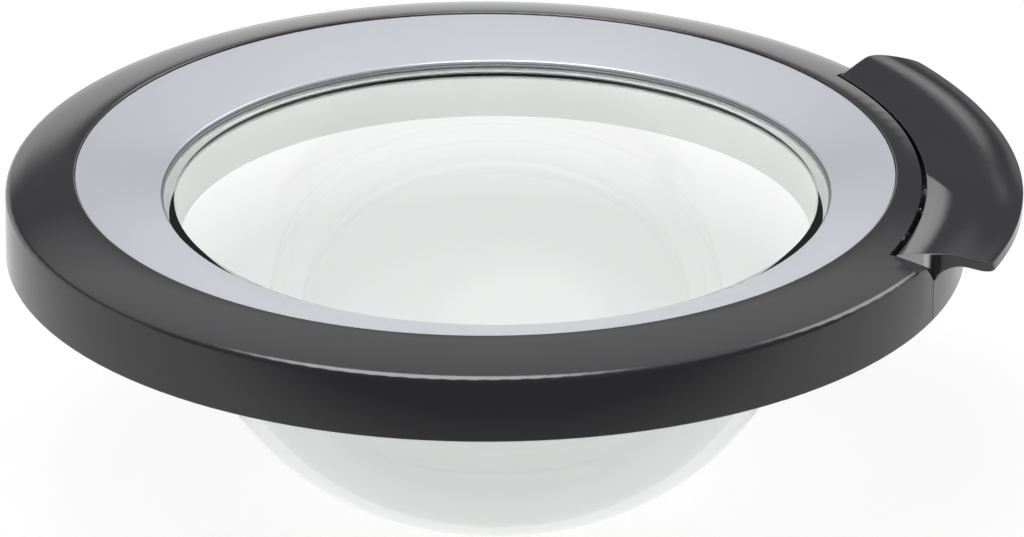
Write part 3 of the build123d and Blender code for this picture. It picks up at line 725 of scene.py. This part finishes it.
def pale_floor(front):
    """White floor that keeps a faint shadow, and that reflections see fading before the door."""
    material = bpy.data.materials.new("pale_floor")
    material.use_nodes = True
    nodes, links = material.node_tree.nodes, material.node_tree.links
    nodes.clear()
    output = nodes.new("ShaderNodeOutputMaterial")
    rays = nodes.new("ShaderNodeLightPath")
    diffuse = nodes.new("ShaderNodeBsdfDiffuse")
    diffuse.inputs["Color"].default_value = FLOOR_GREY
    white = nodes.new("ShaderNodeEmission")
    fading = nodes.new("ShaderNodeEmission")
    plain = nodes.new("ShaderNodeMixShader")
    mirrored = nodes.new("ShaderNodeMixShader")
    place = nodes.new("ShaderNodeTexCoord")
    split = nodes.new("ShaderNodeSeparateXYZ")
    fade = nodes.new("ShaderNodeMapRange")
    fade.interpolation_type = "SMOOTHSTEP"
    fade.inputs["From Min"].default_value = -front - FADE_BEFORE
    fade.inputs["From Max"].default_value = -front + FADE_BEHIND
    fade.inputs["To Min"].default_value = FADE_LEVEL
    seen = steps_of(
        nodes,
        links,
        rays.outputs["Is Camera Ray"],
        ("MAXIMUM", rays.outputs["Is Transmission Ray"]),
        ("MULTIPLY", FLOOR_WHITE),
    )
    links.new(place.outputs["Object"], split.inputs["Vector"])
    links.new(split.outputs["Y"], fade.inputs["Value"])
    links.new(fade.outputs["Result"], fading.inputs["Strength"])
    links.new(seen, plain.inputs["Fac"])
    links.new(diffuse.outputs["BSDF"], plain.inputs[1])
    links.new(white.outputs["Emission"], plain.inputs[2])
    links.new(rays.outputs["Is Glossy Ray"], mirrored.inputs["Fac"])
    links.new(plain.outputs["Shader"], mirrored.inputs[1])
    links.new(fading.outputs["Emission"], mirrored.inputs[2])

    # Clear from below, so that the door can be seen from under the floor
    side = nodes.new("ShaderNodeNewGeometry")
    clear = nodes.new("ShaderNodeBsdfTransparent")
    one_way = nodes.new("ShaderNodeMixShader")
    links.new(side.outputs["Backfacing"], one_way.inputs["Fac"])
    links.new(mirrored.outputs["Shader"], one_way.inputs[1])
    links.new(clear.outputs["BSDF"], one_way.inputs[2])
    links.new(one_way.outputs["Shader"], output.inputs["Surface"])
    return material


def studio_world():
    """White to the camera.

    Reflections see a pale horizon, a grey band, a dark room before the door and two soft patches.
    """
    world = bpy.data.worlds.new("studio")
    world.use_nodes = True
    nodes, links = world.node_tree.nodes, world.node_tree.links
    backdrop = nodes["Background"]
    rays = nodes.new("ShaderNodeLightPath")
    place = nodes.new("ShaderNodeTexCoord")
    split = nodes.new("ShaderNodeSeparateXYZ")
    links.new(place.outputs["Generated"], split.inputs["Vector"])

    def blend(kind, factor, first, second):
        node = nodes.new("ShaderNodeMix")
        node.data_type = "RGBA"
        node.blend_type = kind
        for value, socket in ((factor, "Factor"), (first, "A"), (second, "B")):
            if isinstance(value, (float, tuple)):
                node.inputs[socket].default_value = value
            else:
                links.new(value, node.inputs[socket])
        return node.outputs["Result"]

    sky = nodes.new("ShaderNodeValToRGB")
    fill_ramp(sky, SKY_LEVELS)
    links.new(split.outputs["Z"], sky.inputs["Fac"])
    behind = smooth_range(nodes, links, split.outputs["Y"], -ROOM_EDGE, ROOM_EDGE)
    room = steps_of(
        nodes, links, behind, ("MULTIPLY", 1 - ROOM_LEVEL), ("ADD", ROOM_LEVEL)
    )
    low = smooth_range(nodes, links, split.outputs["Z"], *ROOM_HEIGHT)
    light = blend("MULTIPLY", low, sky.outputs["Color"], room)
    dull = steps_of(
        nodes, links, rays.outputs["Is Singular Ray"], ("MULTIPLY", -PATCH_LOSS), ("ADD", 1.0)
    )
    for direction, outer, inner, level in SOFT_PATCHES:
        towards = nodes.new("ShaderNodeVectorMath")
        towards.operation = "DOT_PRODUCT"
        towards.inputs[1].default_value = direction
        links.new(place.outputs["Generated"], towards.inputs[0])
        edges = [math.cos(math.radians(angle)) for angle in (outer, inner)]
        near = smooth_range(nodes, links, towards.outputs["Value"], *edges)
        patch = steps_of(nodes, links, near, ("MULTIPLY", level), ("MULTIPLY", dull))
        light = blend("ADD", 1.0, light, patch)
    even = blend("MIX", rays.outputs["Is Diffuse Ray"], light, DIFFUSE_SKY)

    # Light that comes through the glass to a matt surface, which lamps can't send
    passed = steps_of(
        nodes,
        links,
        rays.outputs["Diffuse Depth"],
        ("MINIMUM", 1.0),
        ("MULTIPLY", PASSED_BOOST),
        ("ADD", 1.0),
    )
    through = steps_of(
        nodes,
        links,
        rays.outputs["Is Transmission Ray"],
        ("MULTIPLY", THROUGH_WHITE),
        ("MAXIMUM", rays.outputs["Is Camera Ray"]),
    )
    links.new(blend("MIX", through, even, passed), backdrop.inputs["Color"])
    return world


def softbox(name, place, aim, width, depth, power):
    """A rectangular lamp that neither reflections nor the glass show."""
    lamp = bpy.data.lights.new(name, "AREA")
    lamp.shape = "RECTANGLE"
    lamp.size, lamp.size_y, lamp.energy = width, depth, power
    holder = bpy.data.objects.new(name, lamp)
    holder.location = place
    holder.rotation_euler = (aim - place).to_track_quat("-Z", "Y").to_euler()
    holder.visible_glossy = False
    holder.visible_transmission = False
    bpy.context.scene.collection.objects.link(holder)


class DOOR_OT_stage(bpy.types.Operator):
    """Sets the floor, the light and the camera"""

    bl_idname = "door.stage"
    bl_label = "Stage"

    def execute(self, context):
        scene, stage = context.scene, context.scene.door_stage
        bm = bmesh.new()
        under = Matrix.Translation((0, 0, CAD_BOUNDS[0].z - FLOOR_DROP))
        bmesh.ops.create_grid(bm, x_segments=1, y_segments=1, size=FLOOR_REACH, matrix=under)
        mesh = bpy.data.meshes.new("floor")
        bm.to_mesh(mesh)
        bm.free()
        mesh.materials.append(pale_floor(stage.table_front))
        floor = bpy.data.objects.new("floor", mesh)
        scene.collection.objects.link(floor)

        scene.world = studio_world()
        centre = RING_AXIS
        for name, (place, width, depth) in LAMPS.items():
            softbox(name, centre + Vector(place), centre, width, depth, getattr(stage, name))

        turn, rise = math.radians(stage.azimuth), math.radians(stage.elevation)
        level = math.cos(rise)
        back = Vector((math.sin(turn) * level, -math.cos(turn) * level, math.sin(rise)))
        right = Vector((math.cos(turn), math.sin(turn), 0))
        up = back.cross(right)
        lens = bpy.data.cameras.new("camera")
        lens.lens, lens.sensor_width = stage.lens, SENSOR_WIDTH
        lens.clip_start, lens.clip_end = CLIP_RANGE
        camera = bpy.data.objects.new("camera", lens)
        aside = right * stage.aim_right - up * stage.aim_down
        camera.location = centre + back * stage.distance + aside
        camera.rotation_euler = (-back).to_track_quat("-Z", "Y").to_euler()
        scene.collection.objects.link(camera)
        scene.camera = camera
        scene.view_settings.view_transform = "Standard"
        return {"FINISHED"}


class DOOR_PT_panel(bpy.types.Panel):
    """Lists the pieces of the door"""

    bl_idname = "DOOR_PT_panel"
    bl_label = "Door"
    bl_space_type = "VIEW_3D"
    bl_region_type = "UI"
    bl_category = "Door"

    def draw(self, context):
        scene = context.scene
        for operator in OPERATORS:
            self.layout.operator(operator.bl_idname)
        for group in (scene.door_sizes, scene.door_finishes, scene.door_stage):
            for name in group.__annotations__:
                self.layout.prop(group, name)


OPERATORS = (
    DOOR_OT_front_ring,
    DOOR_OT_trim_ring,
    DOOR_OT_glass_bowl,
    DOOR_OT_handle,
    DOOR_OT_rear_ring,
    DOOR_OT_metalwork,
    DOOR_OT_stage,
)
CLASSES = (DoorSizes, DoorFinishes, StageSettings, *OPERATORS, DOOR_PT_panel)


def register():
    for item in CLASSES:
        bpy.utils.register_class(item)
    bpy.types.Scene.door_sizes = PointerProperty(type=DoorSizes)
    bpy.types.Scene.door_finishes = PointerProperty(type=DoorFinishes)
    bpy.types.Scene.door_stage = PointerProperty(type=StageSettings)


def unregister():
    del bpy.types.Scene.door_stage
    del bpy.types.Scene.door_finishes
    del bpy.types.Scene.door_sizes
    for item in reversed(CLASSES):
        bpy.utils.unregister_class(item)


def main():
    register()
    bpy.ops.door.front_ring()
    bpy.ops.door.trim_ring()
    bpy.ops.door.glass_bowl()
    bpy.ops.door.handle()
    bpy.ops.door.rear_ring()
    bpy.ops.door.metalwork()
    bpy.ops.door.stage()


if __name__ == "__main__":
    main()
